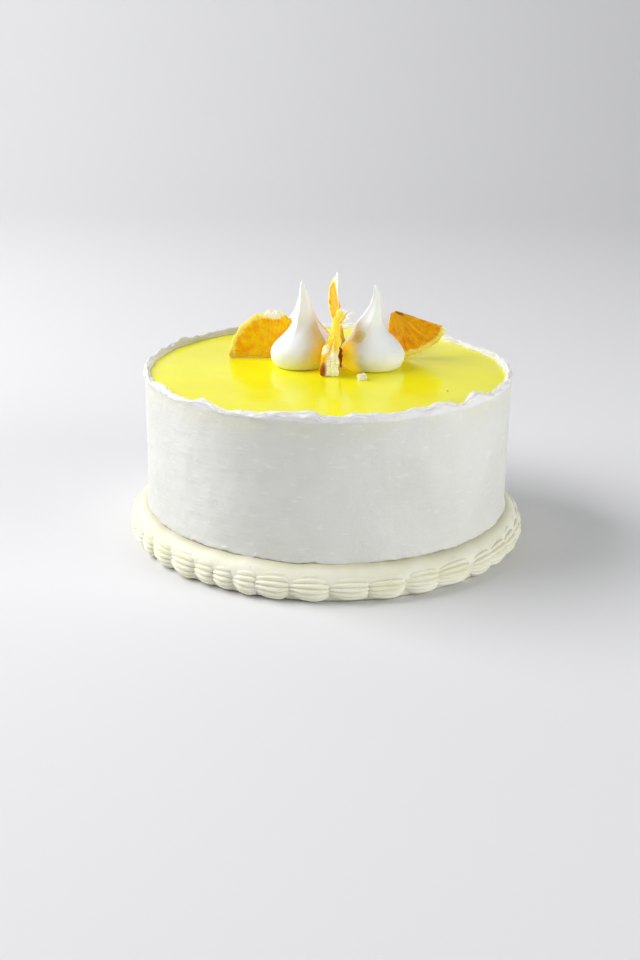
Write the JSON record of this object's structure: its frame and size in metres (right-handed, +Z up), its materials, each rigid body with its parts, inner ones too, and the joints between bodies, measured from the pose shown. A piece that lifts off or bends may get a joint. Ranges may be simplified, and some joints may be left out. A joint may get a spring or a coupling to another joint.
{
  "type": "lemon cake",
  "caption": "Tall round iced cake with a glossy lemon glaze top, a piped shell border round its foot, meringue kisses and dried orange slices.",
  "frame": {"origin": "centre of the cake's flat bottom, on the axis of its round side", "axes": "+Z up through the cake, -Y towards the front, where the small toppings stand closest to the viewer, +X to the right seen from the front"},
  "size_m": [0.2339, 0.2335, 0.1469],
  "materials": {
    "icing": "white buttercream, smoothed with a spatula, soft satin",
    "glaze": "poured lemon glaze, smooth and glossy",
    "border_cream": "piped pale cream, ridged, satin",
    "meringue": "dry baked meringue, smooth and matt",
    "dried_orange": "dried orange, amber flesh with pale pith and rind"
  },
  "bodies": {
    "root": {"cake_body": "icing", "lemon_glaze": "glaze", "shell_border": "border_cream", "kiss_front_left": "meringue", "kiss_front_right": "meringue", "kiss_back_left": "meringue", "kiss_back_right": "meringue", "orange_left": "dried_orange", "orange_right": "dried_orange", "orange_front": "dried_orange", "orange_back": "dried_orange"}
  },
  "joints": []
}
